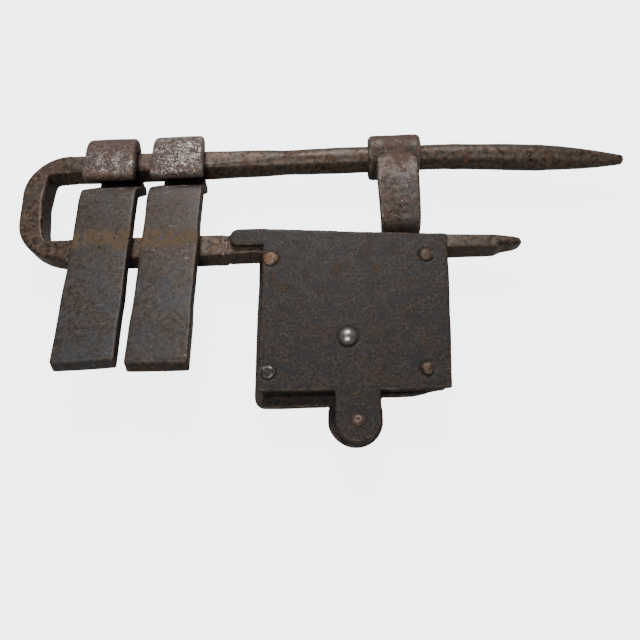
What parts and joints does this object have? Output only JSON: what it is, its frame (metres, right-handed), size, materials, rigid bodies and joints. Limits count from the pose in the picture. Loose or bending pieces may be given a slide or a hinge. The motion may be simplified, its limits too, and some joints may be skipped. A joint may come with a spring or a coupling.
{
  "type": "sliding bolt latch",
  "caption": "Forged iron sliding bolt latch: a U-shaped bolt with a pointed arm, two loose door staples and a riveted spring-catch case with an eye bracket.",
  "frame": {"origin": "on the case's back face, on the axis of the pivot post", "axes": "+X along the bolt towards its point, +Y across towards the long upper arm, +Z out of the case's front plate"},
  "size_m": [0.3008, 0.1623, 0.0269],
  "materials": {
    "bolt_iron": "hand-forged, browned, worn bright on its edges",
    "staple_iron": "hand-forged, grey-blue scale, pitted bright eyes",
    "plate_iron": "dark brown-black sheet iron, fine grain",
    "bracket_iron": "hand-forged, browned, lightly pitted",
    "wall_iron": "dark, sooty",
    "rivet_iron": "peened, rusty brown",
    "worn_steel": "worn bright",
    "inner_iron": "dull, oiled",
    "spring_steel": "blued"
  },
  "bodies": {
    "lock_case": {"front_plate": "plate_iron", "back_plate": "plate_iron", "eye_bracket": "bracket_iron", "left_wall": "wall_iron", "tongue_wall": "wall_iron", "right_wall": "wall_iron", "rivet_upper_left": "rivet_iron", "rivet_upper_right": "rivet_iron", "rivet_lower_left": "rivet_iron", "rivet_lower_right": "rivet_iron", "pivot_post": "worn_steel", "pivot_collar_front": "inner_iron", "pivot_collar_back": "inner_iron", "spring_post": "inner_iron", "stop_post": "inner_iron", "drill_pin": "rivet_iron", "pin_collar": "rivet_iron"},
    "bolt": {"u_bolt": "bolt_iron", "stop_stud": "inner_iron"},
    "left_staple": {"left_staple": "staple_iron"},
    "right_staple": {"right_staple": "staple_iron"},
    "catch": {"catch_lever": "inner_iron"},
    "spring": {"leaf_spring": "spring_steel"}
  },
  "joints": [
    {"name": "bolt_slide", "type": "slide", "parent": "lock_case", "child": "bolt", "axis": [1, 0, 0], "range_m": [-0.021, 0.012]},
    {"name": "left_staple_swing", "type": "hinge", "parent": "lock_case", "child": "left_staple", "pos_m": [-0.1167, 0.1005, 0.0081], "axis": [-1, 0, 0], "range_deg": [0, 170]},
    {"name": "right_staple_swing", "type": "hinge", "parent": "lock_case", "child": "right_staple", "pos_m": [-0.0827, 0.1005, 0.0081], "axis": [-1, 0, 0], "range_deg": [0, 170]},
    {"name": "catch_turn", "type": "hinge", "parent": "lock_case", "child": "catch", "pos_m": [0, 0, 0.0081], "axis": [0, 0, -1], "range_deg": [0, 9.5], "stiffness_Nm_per_rad": 0.4, "springref_deg": -11.46},
    {"name": "spring_bend", "type": "hinge", "parent": "lock_case", "child": "spring", "pos_m": [0.03, -0.003, 0.0081], "axis": [0, 0, -1], "range_deg": [0, 14.5]}
  ],
  "couplings": [
    {"joint": "spring_bend", "follows": "catch_turn", "ratio": 1.45}
  ]
}
